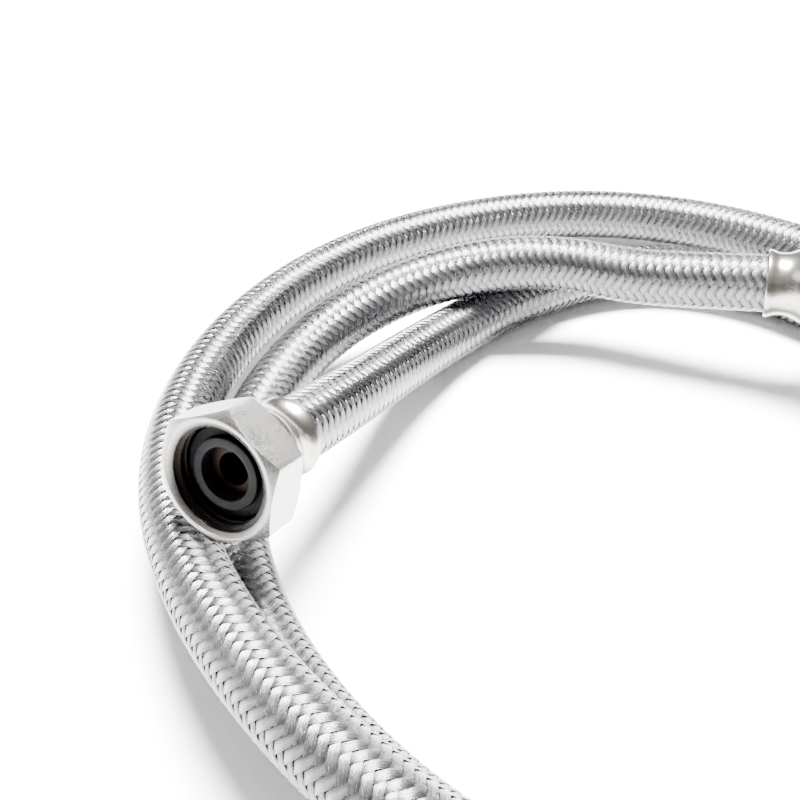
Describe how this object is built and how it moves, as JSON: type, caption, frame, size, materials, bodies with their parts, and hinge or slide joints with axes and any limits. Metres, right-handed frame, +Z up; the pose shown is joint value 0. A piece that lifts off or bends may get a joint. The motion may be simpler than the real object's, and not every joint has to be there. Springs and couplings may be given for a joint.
{
  "type": "braided supply line",
  "caption": "Flexible water supply line: stainless braided hose lying in a loose coil, with a crimped ferrule and a swivel hex nut on each end",
  "frame": {"origin": "on the floor under the middle of the coil's bounding box", "axes": "+Z up, +Y away from the viewer across the coil, +X to the right; end a is at -X, end b at +X"},
  "size_m": [0.2146, 0.2254, 0.0516],
  "materials": {
    "braid": "fine bright wire braid",
    "hose_rubber": "smooth",
    "ferrule_steel": "satin",
    "insert_brass": "turned",
    "slip_plastic": "smooth",
    "seal_rubber": "matt moulded",
    "nut_plate": "satin nickel plate"
  },
  "bodies": {
    "hose": {"braid_sleeve": "braid", "inner_tube": "hose_rubber", "crimp_ferrule_a": "ferrule_steel", "insert_tail_a": "insert_brass", "sealing_washer_a": "seal_rubber", "crimp_ferrule_b": "ferrule_steel", "insert_tail_b": "insert_brass", "sealing_washer_b": "seal_rubber"},
    "slip_ring_a": {"slip_ring_a": "slip_plastic"},
    "nut_a": {"swivel_nut_a": "nut_plate"},
    "slip_ring_b": {"slip_ring_b": "slip_plastic"},
    "nut_b": {"swivel_nut_b": "nut_plate"}
  },
  "joints": [
    {"name": "nut_a_slide", "type": "slide", "parent": "hose", "child": "slip_ring_a", "axis": [0.4627, 0.8179, -0.342], "range_m": [0, 0.001]},
    {"name": "nut_a_spin", "type": "hinge", "parent": "slip_ring_a", "child": "nut_a", "pos_m": [-0.0845, -0.0275, 0.03896], "axis": [0.4627, 0.8179, -0.342], "continuous": true},
    {"name": "nut_b_slide", "type": "slide", "parent": "hose", "child": "slip_ring_b", "axis": [-0.9305, 0.3387, -0.1392], "range_m": [0, 0.001]},
    {"name": "nut_b_spin", "type": "hinge", "parent": "slip_ring_b", "child": "nut_b", "pos_m": [0.0597, 0.0368, 0.02856], "axis": [-0.9305, 0.3387, -0.1392], "continuous": true}
  ]
}
